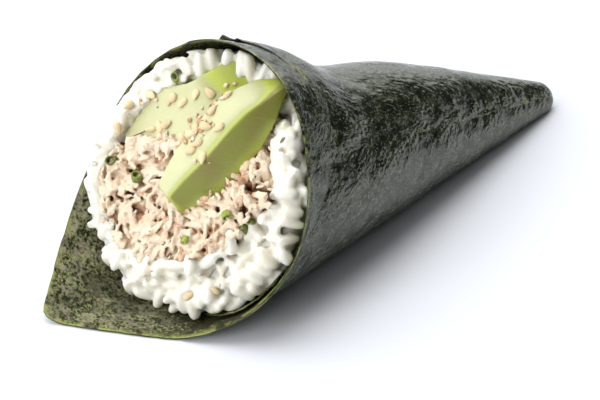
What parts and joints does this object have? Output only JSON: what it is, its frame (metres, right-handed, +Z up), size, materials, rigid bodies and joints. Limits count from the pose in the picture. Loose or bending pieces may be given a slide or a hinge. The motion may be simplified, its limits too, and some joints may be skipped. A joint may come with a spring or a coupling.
{
  "type": "temaki hand roll",
  "caption": "Cone of rolled nori with a spread flap, filled with rice, tuna salad and avocado slices, lying on its side.",
  "frame": {"origin": "on the table, under the middle of the roll's bounding box", "axes": "+X towards the closed tip, -X towards the open mouth, -Y towards the side with the rolled seam, +Z up"},
  "size_m": [0.131, 0.0526, 0.0488],
  "materials": {
    "nori": "dry seaweed sheet, satin, speckled and fibrous",
    "rice": "moist cooked grains, slightly translucent",
    "tuna_salad": "moist flakes with dressing",
    "avocado": "smooth cut flesh, satin",
    "sesame": "toasted seed husk, satin",
    "chives": "cut green leaf, satin"
  },
  "bodies": {
    "root": {"nori": "nori", "rice": "rice", "tuna_salad": "tuna_salad", "avocado_slice_front": "avocado", "avocado_slice_back": "avocado"}
  },
  "joints": []
}
